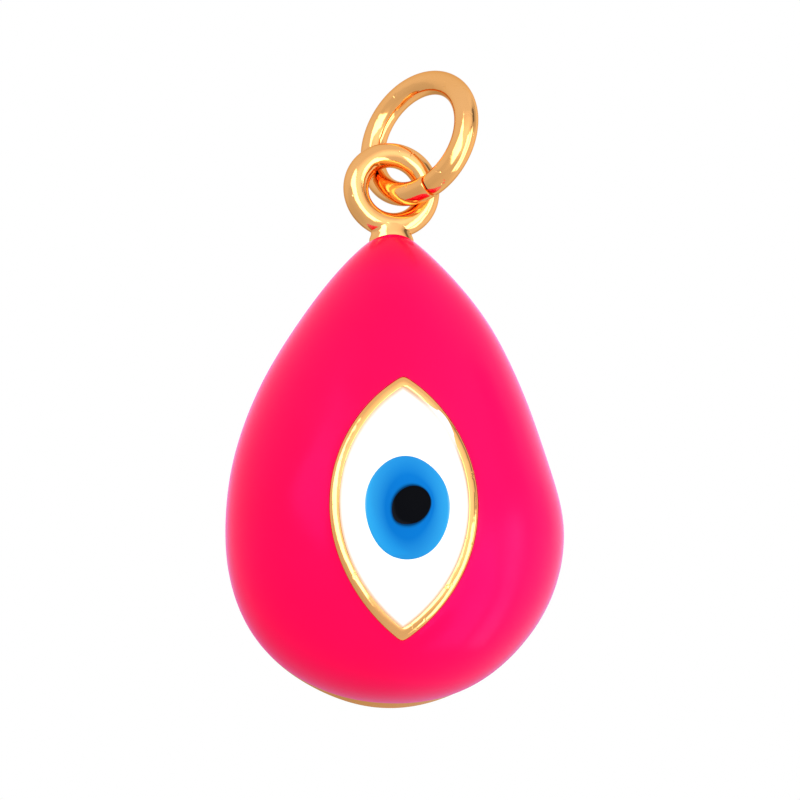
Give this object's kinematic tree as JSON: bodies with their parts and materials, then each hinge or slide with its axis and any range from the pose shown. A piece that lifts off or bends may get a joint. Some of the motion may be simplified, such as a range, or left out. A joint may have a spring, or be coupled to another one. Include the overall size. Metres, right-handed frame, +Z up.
{
  "type": "evil eye charm",
  "caption": "Drop-shaped hanging charm with a domed enamelled front, an almond eye inlay in a raised metal bezel, a bail ring on its neck and a split jump ring to hang it by.",
  "frame": {"origin": "centre of the jump ring's eye, where a chain, cord or hook passes through", "axes": "+Z up along the hanging drop, from its bottom tip to its neck; -Y is the enamelled front; +X is to the right seen from the front"},
  "size_m": [0.0117, 0.0051, 0.0228],
  "materials": {
    "gold": "polished gold plating over brass",
    "shell_brass": "bare brass, hidden under the enamel",
    "pink_enamel": "glossy resin enamel, self-levelled",
    "white_enamel": "glossy resin enamel",
    "blue_enamel": "glossy resin enamel",
    "black_enamel": "glossy resin enamel"
  },
  "bodies": {
    "jump_ring": {"jump_ring": "gold"},
    "charm": {"back_plate": "gold", "front_shell": "shell_brass", "pink_enamel": "pink_enamel", "eye_bezel": "gold", "white_enamel": "white_enamel", "blue_iris": "blue_enamel", "black_pupil": "black_enamel", "bail_collar": "gold", "bail_ring": "gold"}
  },
  "joints": [
    {"name": "charm_swing", "type": "hinge", "parent": "jump_ring", "child": "charm", "pos_m": [-0.00095, 0.00038, -0.00182], "axis": [-0.1392, 0.9903, 0], "range_deg": [-70, 120]}
  ]
}
